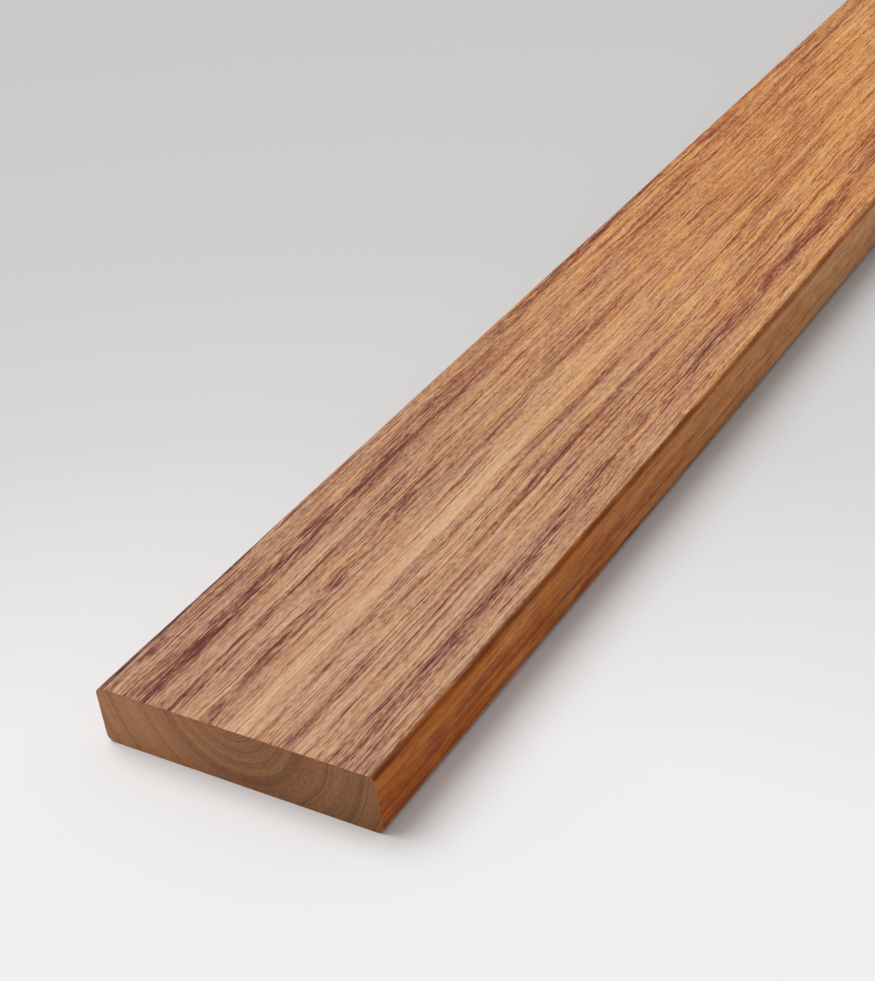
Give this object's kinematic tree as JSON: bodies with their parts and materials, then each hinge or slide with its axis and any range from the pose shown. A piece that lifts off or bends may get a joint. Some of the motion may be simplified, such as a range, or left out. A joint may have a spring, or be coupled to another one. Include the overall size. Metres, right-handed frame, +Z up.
{
  "type": "hardwood decking board",
  "caption": "Flat hardwood decking board with a smooth walking face, rounded long edges and square-cut ends.",
  "frame": {"origin": "middle of the underside, where the board's centre rests on a joist", "axes": "+X along the board's length, away from the sawn end that the picture shows; +Y across its width; +Z up through its thickness, out of the walking face"},
  "size_m": [1.85, 0.12, 0.025],
  "materials": {
    "board": "planed hardwood, satin oiled, golden brown with purple-brown grain streaks; sawn end grain a plainer brown"
  },
  "bodies": {
    "root": {"board": "board"}
  },
  "joints": []
}
